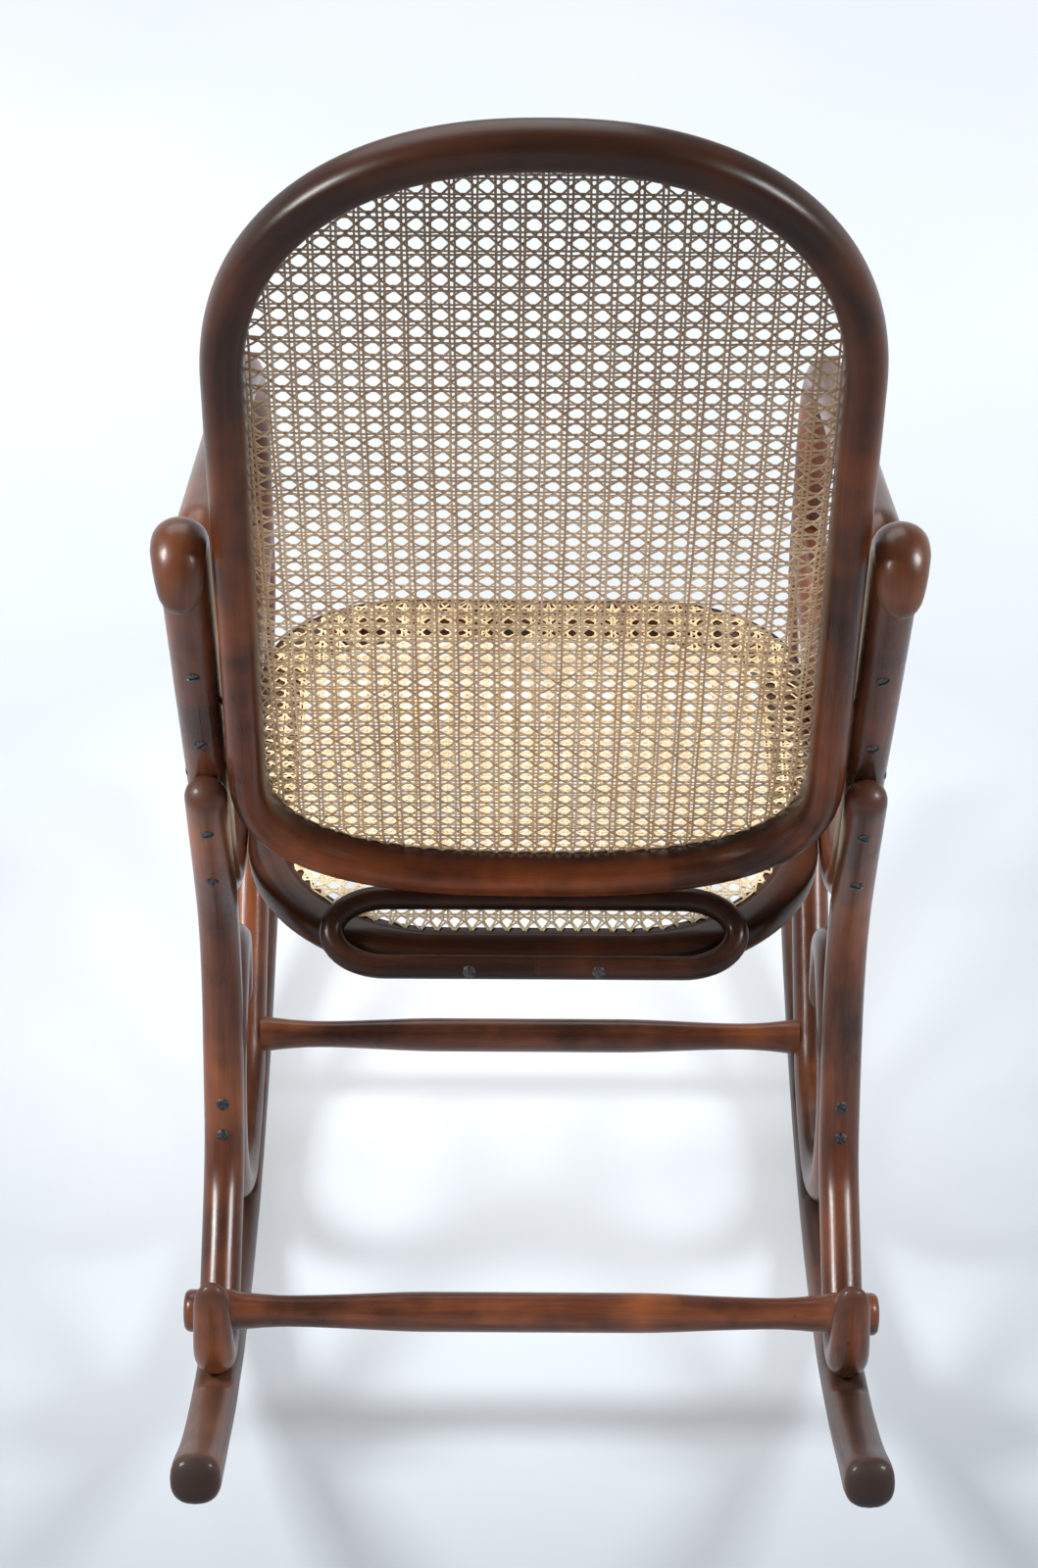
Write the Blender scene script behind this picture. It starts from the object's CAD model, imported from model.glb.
# Bentwood rocking chair with a caned back and seat.
# Every rod is bent from a straight blank, as the real ones are, and the cane is laid strand by strand.
import math
import random

import bmesh
import bpy
import numpy as np
from mathutils import Matrix, Vector, noise


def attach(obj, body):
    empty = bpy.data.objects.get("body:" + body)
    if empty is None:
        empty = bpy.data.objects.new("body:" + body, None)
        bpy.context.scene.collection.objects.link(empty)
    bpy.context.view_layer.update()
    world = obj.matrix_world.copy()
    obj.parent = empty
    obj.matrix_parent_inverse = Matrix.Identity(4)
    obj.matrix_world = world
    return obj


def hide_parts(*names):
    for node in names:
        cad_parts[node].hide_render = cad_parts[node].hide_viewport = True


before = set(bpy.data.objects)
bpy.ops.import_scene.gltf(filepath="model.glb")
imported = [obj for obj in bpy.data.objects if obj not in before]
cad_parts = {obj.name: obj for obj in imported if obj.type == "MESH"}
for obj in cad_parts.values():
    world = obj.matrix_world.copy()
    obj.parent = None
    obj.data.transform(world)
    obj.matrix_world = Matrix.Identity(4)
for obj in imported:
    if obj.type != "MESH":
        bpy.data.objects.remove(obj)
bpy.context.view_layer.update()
print("frame loaded")

mm = 0.001
deg = math.pi / 180
rockerY = -4.5  # where the runners touch the floor, in mm along the chair
random.seed(4)


# camera: f 3700 px for 1600 px of height, at the photo's place
shot = {
    "place": (0.0219, 1.9909, 2.0091),
    "pitch": 39.036,
    "yaw": -0.314,
    "roll": 0.55,
    "lens": 83.25,
    "sensorHeight": 36.0,
}


def placeCamera():
    pitch, yaw, roll = shot["pitch"] * deg, shot["yaw"] * deg, shot["roll"] * deg
    turn = Matrix.Rotation(yaw, 3, "Z")
    ahead = turn @ Vector((0, -math.cos(pitch), -math.sin(pitch)))
    right = turn @ Vector((-1, 0, 0))
    up = turn @ Vector((0, -math.sin(pitch), math.cos(pitch)))
    rightRolled = math.cos(roll) * right + math.sin(roll) * up
    upRolled = math.cos(roll) * up - math.sin(roll) * right
    data = bpy.data.cameras.new("camera")
    data.sensor_fit = "VERTICAL"
    data.sensor_height = shot["sensorHeight"]
    data.lens = shot["lens"]
    data.clip_end = 50
    camera = bpy.data.objects.new("camera", data)
    basis = Matrix((rightRolled, upRolled, -ahead)).transposed().to_4x4()
    basis.translation = Vector(shot["place"])
    camera.matrix_world = basis
    bpy.context.scene.collection.objects.link(camera)
    bpy.context.scene.camera = camera


placeCamera()
bpy.context.scene.view_settings.view_transform = "Standard"
print("camera placed")


# finishes
def srgb(r, g, b):
    def linear(c):
        return c / 255 / 12.92 if c <= 10 else ((c / 255 + 0.055) / 1.055) ** 2.4

    return (linear(r), linear(g), linear(b), 1)


def stops(places, *colours):
    return [(at, srgb(*colour)) for at, colour in zip(places, colours)]


def newFinish(name):
    finish = bpy.data.materials.new(name)
    finish.use_nodes = True
    tree = finish.node_tree
    shader = tree.nodes["Principled BSDF"]
    return finish, tree, shader


def addNode(tree, kind, **settings):
    node = tree.nodes.new(kind)
    for key, value in settings.items():
        setattr(node, key, value)
    return node


def preset(node, values):
    for socket, value in values.items():
        node.inputs[socket].default_value = value


def axisOf(tree, vector, axis):
    apart = addNode(tree, "ShaderNodeSeparateXYZ")
    tree.links.new(vector, apart.inputs[0])
    return apart.outputs[axis]


# noise in waves per metre along each axis of the source
def stretchedNoise(tree, source, scale, detail, roughness=0.55, offset=(0, 0, 0)):
    place = addNode(tree, "ShaderNodeMapping")
    preset(place, {"Scale": scale, "Location": offset})
    grain = addNode(tree, "ShaderNodeTexNoise")
    preset(grain, {"Scale": 1.0, "Detail": detail, "Roughness": roughness})
    tree.links.new(source, place.inputs["Vector"])
    tree.links.new(place.outputs["Vector"], grain.inputs["Vector"])
    return grain.outputs["Fac"]


def colourRamp(tree, source, stops):
    ramp = addNode(tree, "ShaderNodeValToRGB")
    while len(ramp.color_ramp.elements) < len(stops):
        ramp.color_ramp.elements.new(0.5)
    for element, (at, colour) in zip(ramp.color_ramp.elements, stops):
        element.position = at
        element.color = colour
    tree.links.new(source, ramp.inputs["Fac"])
    return ramp.outputs["Color"]


def mapRange(tree, source, fromLow, fromHigh, toLow, toHigh):
    node = addNode(tree, "ShaderNodeMapRange")
    preset(node, {"From Min": fromLow, "From Max": fromHigh, "To Min": toLow, "To Max": toHigh})
    tree.links.new(source, node.inputs["Value"])
    return node.outputs["Result"]


def mixColour(tree, fac, a, b):
    node = addNode(tree, "ShaderNodeMix", data_type="RGBA")
    for value, socket in ((fac, node.inputs[0]), (a, node.inputs[6]), (b, node.inputs[7])):
        if isinstance(value, (tuple, float, int)):
            socket.default_value = value
        else:
            tree.links.new(value, socket)
    return node.outputs[2]


def combine(tree, operation, a, b):
    node = addNode(tree, "ShaderNodeMath", operation=operation)
    for value, socket in ((a, node.inputs[0]), (b, node.inputs[1])):
        if isinstance(value, (float, int)):
            socket.default_value = value
        else:
            tree.links.new(value, socket)
    return node.outputs[0]


# marks laid one over another, each with its share
def layered(tree, colour, marks):
    for share, laid in marks:
        colour = mixColour(tree, share, colour, laid)
    return colour


def roughen(tree, shader, relief, strength, depth):
    bump = addNode(tree, "ShaderNodeBump")
    preset(bump, {"Strength": strength, "Distance": depth})
    tree.links.new(relief, bump.inputs["Height"])
    tree.links.new(bump.outputs["Normal"], shader.inputs["Normal"])


# stained beech: long fibres in the blank's own space, worn patches and dents in the chair's
# (a fade is the noise between which a mark comes in, then its least and most share)
wood = {
    "streaks": (90, 90, 5), "fibres": (900, 900, 26), "flecks": (1500, 1500, 220),
    "wear": (7, 7, 7), "dents": (45, 45, 45), "specks": (120, 120, 120),
    "wornFade": (0.48, 0.66), "darkFade": (0.43, 0.33, 0, 0.7), "fibreFade": (0.4, 0.75, 0, 0.3),
    "fleckFade": (0.66, 0.74, 0, 0.35), "speckFade": (0.78, 0.82, 0, 0.8),
    "ridge": (0.011, -0.004),
    "wearRough": (0.3, 0.75, 0, 0.16), "fibreRough": (0.3, 0.7, -0.02, 0.05), "tipRough": 0.12,
    "fibreRelief": 0.5, "dentRelief": 0.9, "bump": 0.35, "bumpDepth": 0.0004, "coatRough": 0.12,
}


def stainedWood(name, look):
    finish, tree, shader = newFinish(name)
    blank = addNode(tree, "ShaderNodeAttribute", attribute_name="blank").outputs["Vector"]
    tip = addNode(tree, "ShaderNodeAttribute", attribute_name="tip").outputs["Fac"]
    place = addNode(tree, "ShaderNodeTexCoord").outputs["Object"]
    streaks = stretchedNoise(tree, blank, wood["streaks"], 5, 0.6)
    fibres = stretchedNoise(tree, blank, wood["fibres"], 4, 0.65)
    flecks = stretchedNoise(tree, blank, wood["flecks"], 2)
    specks = stretchedNoise(tree, place, wood["specks"], 1)
    dents = stretchedNoise(tree, place, wood["dents"], 3)
    wear = stretchedNoise(tree, place, wood["wear"], 4, 0.62, look["wearAt"])
    # hands keep the rear ridge clean, dirt stays along the edges and high up
    high = mapRange(tree, axisOf(tree, place, "Z"), look["soilFrom"], look["soilTo"], 0, look["soil"])
    edged = mapRange(tree, axisOf(tree, blank, "Y"), *wood["ridge"], 0, look["edgeSoil"])
    colour = layered(tree, colourRamp(tree, streaks, look["stops"]), (
        (mapRange(tree, wear, *wood["wornFade"], 0, look["wear"]), look["worn"]),
        (mapRange(tree, wear, *wood["darkFade"]), look["deep"]),
        (mapRange(tree, fibres, *wood["fibreFade"]), look["deep"]),
        (mapRange(tree, flecks, *wood["fleckFade"]), look["fleck"]),
        (mapRange(tree, specks, *wood["speckFade"]), look["deep"]),
        (combine(tree, "MULTIPLY", tip, look["endShare"]), look["end"]),
        (combine(tree, "MAXIMUM", high, edged), look["deep"]),
    ))
    tree.links.new(colour, shader.inputs["Base Color"])
    wornFrom, wornTo, least, most = wood["wearRough"]
    rough = mapRange(tree, wear, wornFrom, wornTo, look["gloss"] + least, look["gloss"] + most)
    rough = combine(tree, "ADD", rough, mapRange(tree, fibres, *wood["fibreRough"]))
    rough = combine(tree, "ADD", rough, combine(tree, "MULTIPLY", tip, wood["tipRough"]))
    tree.links.new(rough, shader.inputs["Roughness"])
    fine = combine(tree, "MULTIPLY", fibres, wood["fibreRelief"])
    relief = combine(tree, "ADD", fine, combine(tree, "MULTIPLY", dents, wood["dentRelief"]))
    roughen(tree, shader, relief, wood["bump"], wood["bumpDepth"])
    preset(shader, {"Specular IOR Level": look["shine"], "Coat Weight": look["coat"]})
    preset(shader, {"Coat Roughness": wood["coatRough"]})
    return finish


rodLook = {
    "stops": stops((0.3, 0.48, 0.66, 0.8), (56, 31, 20), (82, 44, 28), (106, 59, 36), (72, 39, 26)),
    "worn": srgb(158, 90, 48),
    "wear": 0.6,
    "wearAt": (0.3, 0.1, 0.7),
    "deep": srgb(28, 17, 12),
    "fleck": srgb(128, 76, 46),
    "end": srgb(70, 38, 25),
    "endShare": 0.6,
    "soilFrom": 0.62,
    "soilTo": 0.75,
    "soil": 0.6,
    "edgeSoil": 0.0,
    "gloss": 0.24,
    "shine": 0.36,
    "coat": 0.14,
}
runnerLook = dict(rodLook)
runnerLook.update({
    "stops": stops((0.3, 0.5, 0.68, 0.82), (46, 29, 23), (66, 43, 34), (86, 57, 44), (58, 39, 32)),
    "worn": srgb(128, 82, 58),
    "wear": 0.45,
    "end": srgb(40, 24, 19),
    "endShare": 0.85,
    "gloss": 0.36,
})
frameLook = dict(rodLook)
frameLook.update({
    "stops": stops((0.3, 0.5, 0.68, 0.82), (48, 26, 17), (88, 46, 27), (122, 63, 35), (70, 38, 24)),
    "worn": srgb(160, 84, 42),
    "wear": 0.75,
    "wearAt": (1.3, 2.1, 0.2),
    "soilFrom": 0.46,
    "soilTo": 0.98,
    "soil": 0.88,
    "edgeSoil": 0.75,
    "shine": 0.2,
    "coat": 0.05,
})
ringLook = dict(frameLook)
ringLook.update({
    "stops": stops((0.3, 0.5, 0.68, 0.82), (24, 14, 11), (44, 25, 18), (66, 36, 24), (36, 21, 16)),
    "wear": 0.2,
})
rodWood = stainedWood("stained_beech", rodLook)
runnerWood = stainedWood("worn_beech", runnerLook)
frameWood = stainedWood("dark_stained_beech", frameLook)
ringWood = stainedWood("darkest_stained_beech", ringLook)


caneMarks = {
    "fibre": (2600, 400, 30), "blotch": (14, 14, 14),
    "agedFade": (0.45, 0.75, 0, 0.55), "lineFade": (0.5, 0.8, 0, 0.5), "smokedFade": (0.68, 1.0, 0, 0.85),
    "bump": 0.3, "bumpDepth": 0.0002,
}


def caneFinish(name, look):
    finish, tree, shader = newFinish(name)
    tone = addNode(tree, "ShaderNodeAttribute", attribute_name="tone").outputs["Fac"]
    run = addNode(tree, "ShaderNodeAttribute", attribute_name="blank").outputs["Vector"]
    place = addNode(tree, "ShaderNodeTexCoord").outputs["Object"]
    fibre = stretchedNoise(tree, run, caneMarks["fibre"], 3)
    blotch = stretchedNoise(tree, place, caneMarks["blotch"], 4, 0.6)
    colour = layered(tree, colourRamp(tree, tone, look["stops"]), (
        (mapRange(tree, blotch, *caneMarks["agedFade"]), look["aged"]),
        (mapRange(tree, fibre, *caneMarks["lineFade"]), look["line"]),
        (mapRange(tree, axisOf(tree, place, "Z"), *caneMarks["smokedFade"]), look["smoked"]),
    ))
    tree.links.new(colour, shader.inputs["Base Color"])
    preset(shader, {"Roughness": look["rough"]})
    roughen(tree, shader, fibre, caneMarks["bump"], caneMarks["bumpDepth"])
    return finish


caneSkin = caneFinish("cane_skin", {
    "stops": stops((0.1, 0.5, 0.9), (206, 164, 106), (230, 194, 138), (240, 210, 158)),
    "aged": srgb(190, 144, 90),
    "line": srgb(176, 130, 80),
    "smoked": srgb(104, 82, 68),
    "rough": 0.38,
})
seatSkin = caneFinish("seat_cane_skin", {
    "stops": stops((0.1, 0.5, 0.9), (230, 200, 150), (243, 218, 174), (250, 232, 196)),
    "aged": srgb(218, 182, 126),
    "line": srgb(210, 174, 120),
    "smoked": srgb(104, 82, 68),
    "rough": 0.42,
})
canePith = caneFinish("cane_pith", {
    "stops": stops((0.1, 0.5, 0.9), (192, 158, 122), (218, 186, 148), (232, 204, 168)),
    "aged": srgb(168, 130, 94),
    "line": srgb(156, 120, 88),
    "smoked": srgb(72, 58, 52),
    "rough": 0.7,
})


steel = {
    "stops": stops((0.35, 0.6, 0.8), (46, 44, 46), (92, 90, 92), (118, 108, 100)),
    "patina": (500, 500, 500),
    "rough": (0.3, 0.7, 0.3, 0.6),
    "metal": 0.8,
}


def screwSteel():
    finish, tree, shader = newFinish("oxidised_steel")
    place = addNode(tree, "ShaderNodeTexCoord").outputs["Object"]
    patina = stretchedNoise(tree, place, steel["patina"], 4)
    tree.links.new(colourRamp(tree, patina, steel["stops"]), shader.inputs["Base Color"])
    tree.links.new(mapRange(tree, patina, *steel["rough"]), shader.inputs["Roughness"])
    preset(shader, {"Metallic": steel["metal"]})
    return finish


darkSteel = screwSteel()
print("finishes made")


# the side plane, in mm: (y, z), y to the rear
side = {
    "x": 221.5,
    "rod": 29.0,
    "gap": 0.3,
    "lap": 2.5,
    "recline": 16 * deg,
    "seatHeight": 317.0,
    "seatRise": 2.5 * deg,
    "seatBendY": 42.0,
    "rocker": 760.0,
    "runnerHeight": 29.0,
}
rodR = side["rod"] / 2
lapSpacing = side["rod"] - 2 * side["lap"] + side["gap"]
runnerMid = side["rocker"] - side["runnerHeight"] / 2
restDistance = runnerMid - (side["runnerHeight"] / 2 + rodR - 2 * side["lap"] + side["gap"])
rocking = Vector((0, side["rocker"]))


def seatZ(y):
    return side["seatHeight"] - y * math.tan(side["seatRise"])


reclineStart = Vector((side["seatBendY"], seatZ(side["seatBendY"])))
reclineUp = Vector((math.sin(side["recline"]), math.cos(side["recline"])))
reclineFront = Vector((-reclineUp.y, reclineUp.x))


def onRecline(distance, offset):
    return reclineStart + reclineUp * distance + reclineFront * offset


def polar(centre, radius, angle):
    return Vector((centre[0] + radius * math.cos(angle), centre[1] + radius * math.sin(angle)))


def angleOf(v):
    return math.atan2(v.y, v.x)


def crossOf(a, b):
    return a.x * b.y - a.y * b.x


def crossing(pointA, directionA, pointB, directionB):
    return pointA + directionA * (crossOf(pointB - pointA, directionB) / crossOf(directionA, directionB))


def arcCourse(centre, radius, start, end, radiusDeep=None):
    deep = radius if radiusDeep is None else radiusDeep
    count = max(3, math.ceil(abs(end - start) * max(radius, deep) / 2.5))
    steps = [start + (end - start) * k / count for k in range(count + 1)]
    return [Vector((centre[0] + radius * math.cos(a), centre[1] + deep * math.sin(a))) for a in steps]


# straight lengths through corner points, each corner rounded by an arc
def roundedCourse(course, corners):
    for k, (at, radius) in enumerate(corners):
        at = Vector(at)
        if not radius:
            course.append(at)
            continue
        before = (course[-1] - at).normalized()
        after = (Vector(corners[k + 1][0]) - at).normalized()
        half = before.angle(after) / 2
        reach = radius / math.tan(half)
        start, end = at + before * reach, at + after * reach
        centre = at + (before + after).normalized() * (radius / math.sin(half))
        angleFrom, angleTo = angleOf(start - centre), angleOf(end - centre)
        turn = (angleTo - angleFrom + math.pi) % (2 * math.pi) - math.pi
        course += arcCourse(centre, radius, angleFrom, angleFrom + turn)
    return course


# evenly spaced places and directions along a course
def walk(course, distances, closed=False):
    points = np.array([tuple(p) for p in course])
    if closed:
        points = np.vstack([points, points[:1]])
    steps = np.linalg.norm(np.diff(points, axis=0), axis=1)
    keep = np.r_[True, steps > 1e-6]
    points = points[keep]
    length = np.r_[0, np.cumsum(np.linalg.norm(np.diff(points, axis=0), axis=1))]
    total = length[-1]

    def at(d):
        d = d % total if closed else np.clip(d, 0, total)
        return np.stack([np.interp(d, length, points[:, 0]), np.interp(d, length, points[:, 1])], -1)

    d = np.asarray(distances(total), float)
    here = at(d)
    reach = 1.5
    ahead = at(d + reach) - at(d - reach)
    ahead /= np.linalg.norm(ahead, axis=1)[:, None]
    return d, here, ahead, total


def placePiece(name, mesh, finishes, nodes):
    for finish in finishes:
        mesh.materials.append(finish)
    obj = bpy.data.objects.new(name, mesh)
    bpy.context.scene.collection.objects.link(obj)
    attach(obj, "root")
    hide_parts(*nodes)
    return obj


def newPiece(name, bm, finishes, nodes, recalc=True):
    if recalc:
        bmesh.ops.recalc_face_normals(bm, faces=bm.faces)
    mesh = bpy.data.meshes.new(name)
    bm.to_mesh(mesh)
    bm.free()
    placePiece(name, mesh, finishes, nodes)


def softShade(bm, sharpAngle=38):
    for face in bm.faces:
        face.smooth = True
    for edge in bm.edges:
        edge.smooth = edge.calc_face_angle(0) < sharpAngle * deg


def nextRing(bm, edges):
    made = bmesh.ops.extrude_edge_only(bm, edges=edges)["geom"]
    verts = [g for g in made if isinstance(g, bmesh.types.BMVert)]
    fresh = set(verts)
    edges = [g for g in made if isinstance(g, bmesh.types.BMEdge)]
    return verts, [e for e in edges if e.verts[0] in fresh and e.verts[1] in fresh]


# how every rod is drawn: ring shares of a rounded end, ring step, waver by hand, reach of a round end
bending = {
    "bulb": (0.004, 0.03, 0.09, 0.2, 0.36, 0.56, 0.78), "step": 6, "sides": 32,
    "waver": 0.012, "waverPitch": 0.02, "roundReach": 26, "flatDepth": 9, "tipReach": 8,
}


# a round blank, drawn out ring by ring along its course in the side plane
def bendRod(name, sideName, sign, course, rod, finish):
    bm = bmesh.new()
    section = bm.verts.layers.float_vector.new("section")
    blank = bm.verts.layers.float_vector.new("blank")
    tip = bm.verts.layers.float.new("tip")
    first = bmesh.ops.create_circle(bm, cap_ends=True, segments=bending["sides"], radius=1)["verts"]
    power = 2 / rod.get("squareness", 2)
    for v in first:
        u, w = v.co.x, v.co.y
        v[section] = (math.copysign(abs(u) ** power, u), math.copysign(abs(w) ** power, w), 0)
    bulb = bending["bulb"]
    roundStart, roundEnd = rod["ends"]

    def spread(total):
        rings = max(4, round((total - roundStart - roundEnd) / bending["step"]))
        inner = list(np.linspace(roundStart, total - roundEnd, rings))
        return [b * roundStart for b in bulb] + inner + [total - b * roundEnd for b in reversed(bulb)]

    distances, here, ahead, total = walk(course, spread)
    endSquare = rod.get("endSquare", 2)

    def placeRing(verts, k):
        d, p, t = distances[k], here[k], ahead[k]
        shrink = 1.0
        for reach, gap in ((roundStart, d), (roundEnd, total - d)):
            if gap < reach:
                shrink *= (1 - (1 - gap / reach) ** endSquare) ** (1 / endSquare)
        width, depth = rod["width"](d, total), rod["depth"](d, total)
        outward = sign * rod.get("outward", 0) * max(0, width - rodR)
        rounder = rod.get("endRound", 0) * max(0, 1 - min(d, total - d) / bending["roundReach"])
        tipNear = min(d - roundStart * 0.5, total - d - roundEnd * 0.5)
        waverAt = d * bending["waverPitch"] + sign * 7 + rod["seed"]
        for v in verts:
            u, w = v[section][0], v[section][1]
            swell = 1 + bending["waver"] * noise.noise(Vector((u, w, waverAt)))
            swell *= shrink * (1 + rounder * (1 / math.hypot(u, w) - 1))
            x, n = u * width * swell + outward, w * depth * swell
            v.co = Vector((sign * side["x"] + x, p[0] - t[1] * n + rockerY, p[1] + t[0] * n)) * mm
            v[blank] = Vector((x, n, d + 3000 * rod["seed"] + 900 * sign)) * mm  # its own length of wood
            v[tip] = max(0.0, 1 - tipNear / rod.get("tipReach", bending["tipReach"]))

    edges = list({e for v in first for e in v.link_edges})
    verts = first
    placeRing(verts, 0)
    for k in range(1, len(distances)):
        verts, edges = nextRing(bm, edges)
        placeRing(verts, k)
    bmesh.ops.holes_fill(bm, edges=edges, sides=0)
    # flats where another rod lies against this one
    for at, towards, halfLength in rod["flats"]:
        towards = towards.normalized()
        for v in bm.verts:
            rel = Vector((v.co.y / mm - rockerY, v.co.z / mm)) - at
            over = rel.dot(towards) + side["gap"] / 2
            if 0 < over < bending["flatDepth"] and abs(crossOf(towards, rel)) < halfLength:
                v.co.y -= towards.x * over * mm
                v.co.z -= towards.y * over * mm
    softShade(bm)
    newPiece(f"{name}_{sideName}", bm, [finish], [f"{name}_{sideName}"])


def eased(t):
    return t * t * (3 - 2 * t)


# easy change over the last share of the rod
def easeTo(tipValue, share, full):
    return lambda d, total: full + (tipValue - full) * eased(max(0.0, d / total - 1 + share) / share)


# half widths at distances from the rod's end
def fromEnd(stations):
    return lambda d, total: float(np.interp(total - d, [s[0] for s in stations], [s[1] for s in stations]))


# both ends swell over a reach
def flared(full, tipValue, reach):
    return lambda d, total: full + (tipValue - full) * eased(max(0.0, 1 - min(d, total - d) / reach))


def belowRocker(distance, angle):
    return polar(rocking, distance, angle - math.pi / 2)


def liftedFrom(y, radius):
    return Vector((y, side["rocker"] - math.sqrt((restDistance - radius) ** 2 - y * y)))


# arm scroll: from the upright over the arm, down the front, round the loop
scroll = {
    "lapStart": 174.0, "lapEnd": 297.0, "bend": 36.0,
    "frontTop": (-392.0, 503.0), "frontTopBend": 112.0,
    "frontLow": (-391.0, 288.0), "frontLowBend": 78.0,
    "riseReach": 69.0, "riseBend": 120.0, "lapShare": 0.3,
    "loopY": 7.0, "loop": 94.0, "volute": 70.0, "voluteTurn": 117 * deg, "stretcherY": -127.0,
}
loopCentre = liftedFrom(scroll["loopY"], scroll["loop"])
loopAngle = math.asin(((loopCentre - rocking).normalized()).x)
riseAngle = loopAngle - scroll["riseReach"] / restDistance
scrollLapAngle = loopAngle + (riseAngle - loopAngle) * scroll["lapShare"]
scrollDown = belowRocker(1, scrollLapAngle) - rocking
scrollRest = belowRocker((runnerMid + restDistance) / 2, scrollLapAngle)


def scrollCourse():
    bendCentre = onRecline(scroll["lapEnd"], lapSpacing + scroll["bend"])
    toFront = Vector(scroll["frontTop"]) - bendCentre
    leave = angleOf(toFront) - math.acos(scroll["bend"] / toFront.length)
    riseCorner = belowRocker(restDistance, riseAngle)
    toRise = riseCorner - loopCentre
    restAngle = angleOf(toRise) + math.acos(scroll["loop"] / toRise.length)
    course = [onRecline(scroll["lapStart"], lapSpacing), onRecline(scroll["lapEnd"], lapSpacing)]
    course += arcCourse(bendCentre, scroll["bend"], -side["recline"], leave % (2 * math.pi))
    roundedCourse(course, [
        (scroll["frontTop"], scroll["frontTopBend"]),
        (scroll["frontLow"], scroll["frontLowBend"]),
        (riseCorner, scroll["riseBend"]),
        (polar(loopCentre, scroll["loop"], restAngle), 0),
    ])
    course += arcCourse(loopCentre, scroll["loop"], restAngle, math.pi / 2)
    voluteCentre = (loopCentre.x, loopCentre.y + scroll["loop"] - scroll["volute"])
    course += arcCourse(voluteCentre, scroll["volute"], math.pi / 2, math.pi / 2 + scroll["voluteTurn"])
    return course


# upright: from the scroll's front back under the seat, up behind the back, over into the hook
upright = {
    "seatBend": 70.0, "hookStart": 404.0, "hook": 20.0, "hookDrop": 10.0,
    "halfWidths": (
        (0, 11.8), (12, 13.4), (26, 15.6), (42, 17.4), (58, 17.4), (90, 16.8), (250, 15.4), (330, 14.5),
    ),
    "halfDepths": ((0, 12.0), (14, 13.6), (30, 14.5)),
}


def uprightCourse(front):
    bendCentre = onRecline(upright["hookStart"], -upright["hook"])
    course = roundedCourse([front], [
        (reclineStart, upright["seatBend"]),
        (onRecline(upright["hookStart"], 0), 0),
    ])
    course += arcCourse(bendCentre, upright["hook"], math.pi - side["recline"], -side["recline"])
    course.append(onRecline(upright["hookStart"] - upright["hookDrop"], -2 * upright["hook"]))
    return course


# rear leg: down behind the upright, against the loop, out to the foot that curls round the stretcher
leg = {
    "lapEnd": 181.0, "lapStart": 45.0, "knee": 190.0, "loopAngle": 22.5 * deg,
    "shin": 100.0, "shinSlope": 30 * deg, "tipRise": 50.0, "tipLean": 10 * deg,
    "stretcherY": 249.5, "stretcherEnd": 30.0, "eye": 0.5,
}
footCurl = leg["stretcherEnd"] / 2 + leg["eye"] + rodR
footCentre = liftedFrom(leg["stretcherY"], footCurl)
footDown = (footCentre - rocking).normalized()
footRest = rocking + footDown * ((runnerMid + restDistance) / 2)
towardsLoop = -polar((0, 0), 1, leg["loopAngle"])
legTouch = polar(loopCentre, scroll["loop"] + lapSpacing, leg["loopAngle"])
legRest = polar(loopCentre, scroll["loop"] + lapSpacing / 2, leg["loopAngle"])


def legCourse():
    top = onRecline(leg["lapEnd"], -lapSpacing)
    alongLoop = Vector((math.sin(leg["loopAngle"]), -math.cos(leg["loopAngle"])))
    shin = Vector((math.cos(leg["shinSlope"]), -math.sin(leg["shinSlope"])))
    startAngle = -math.pi / 2 - leg["shinSlope"]
    curlStart = polar(footCentre, footCurl, startAngle)
    curlEnd = polar(footCentre, footCurl, leg["tipLean"])
    tipLength = leg["tipRise"] - footCurl * math.sin(leg["tipLean"])
    course = roundedCourse([top], [
        (crossing(top, reclineUp, legTouch, alongLoop), leg["knee"]),
        (crossing(legTouch, alongLoop, curlStart, shin), leg["shin"]),
        (curlStart, 0),
    ])
    course += arcCourse(footCentre, footCurl, startAngle, leg["tipLean"])
    course.append(curlEnd + Vector((-math.tan(leg["tipLean"]) * tipLength, tipLength)))
    return course


runner = {
    "width": 31.0, "rearReach": 441.0, "frontReach": 432.0, "squareness": 3.0,
    "tipHalfWidth": 17.0, "widthFlare": 90, "tipHalfDepth": 17.3, "depthFlare": 60,
}
rest = {"loop": 36, "foot": 36, "runner": 58}  # half lengths of the flats where rods meet


def runnerCourse():
    rear = math.asin(runner["rearReach"] / runnerMid)
    front = math.asin(runner["frontReach"] / runnerMid)
    return arcCourse(rocking, runnerMid, rear - math.pi / 2, -front - math.pi / 2)


scrollPath = scrollCourse()


def onScroll(y, z):
    return min(scrollPath, key=lambda p: (p - Vector((y, z))).length)


scrollFront = onScroll(scroll["frontLow"][0], seatZ(scroll["frontLow"][0]))
frontStretcherAt = onScroll(scroll["stretcherY"], loopCentre.y - scroll["loop"])
armLapMiddle = onRecline((scroll["lapStart"] - 10 + scroll["lapEnd"] + side["rod"]) / 2, lapSpacing / 2)
armLapHalf = (scroll["lapEnd"] - scroll["lapStart"] + 10 + side["rod"]) / 2
legLapTop = leg["lapEnd"] - 9
legLapMiddle = onRecline((leg["lapStart"] - rodR + legLapTop) / 2, -lapSpacing / 2)
legLapHalf = (legLapTop - leg["lapStart"] + rodR) / 2
uprightPath = uprightCourse(Vector((scrollFront.x + rodR * 0.75, seatZ(scrollFront.x))))

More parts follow.
